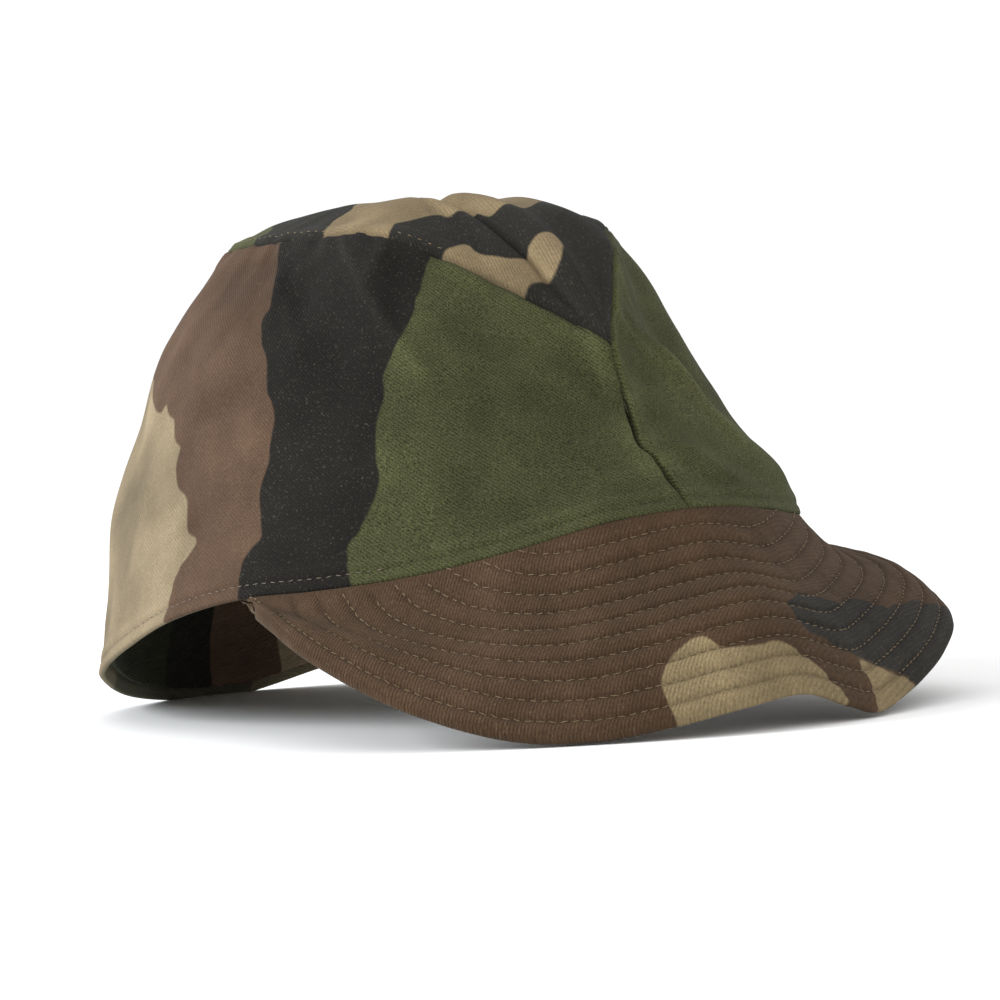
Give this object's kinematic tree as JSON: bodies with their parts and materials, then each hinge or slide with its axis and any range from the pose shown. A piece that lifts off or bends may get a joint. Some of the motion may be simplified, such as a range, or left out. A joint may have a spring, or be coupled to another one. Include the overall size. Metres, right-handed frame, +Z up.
{
  "type": "field cap",
  "caption": "Soft camouflage cloth field cap with a side-panelled crown, a pointed oval top, a quilted flared peak and a folded-in neck flap.",
  "frame": {"origin": "middle of the base of the cap's box, on the surface that the cap stands on", "axes": "+Z up, -Y forwards along the peak, +X to the wearer's left"},
  "size_m": [0.1826, 0.2384, 0.1269],
  "materials": {
    "side_cloth_right": "matt printed cotton twill",
    "side_cloth_left": "matt printed cotton twill",
    "top_cloth": "matt printed cotton twill",
    "peak_cloth": "matt printed cotton twill, quilted in rows",
    "flap_cloth": "matt printed cotton"
  },
  "bodies": {
    "root": {"side_panel_right": "side_cloth_right", "side_panel_left": "side_cloth_left", "crown_top": "top_cloth", "peak": "peak_cloth", "neck_flap": "flap_cloth"}
  },
  "joints": []
}
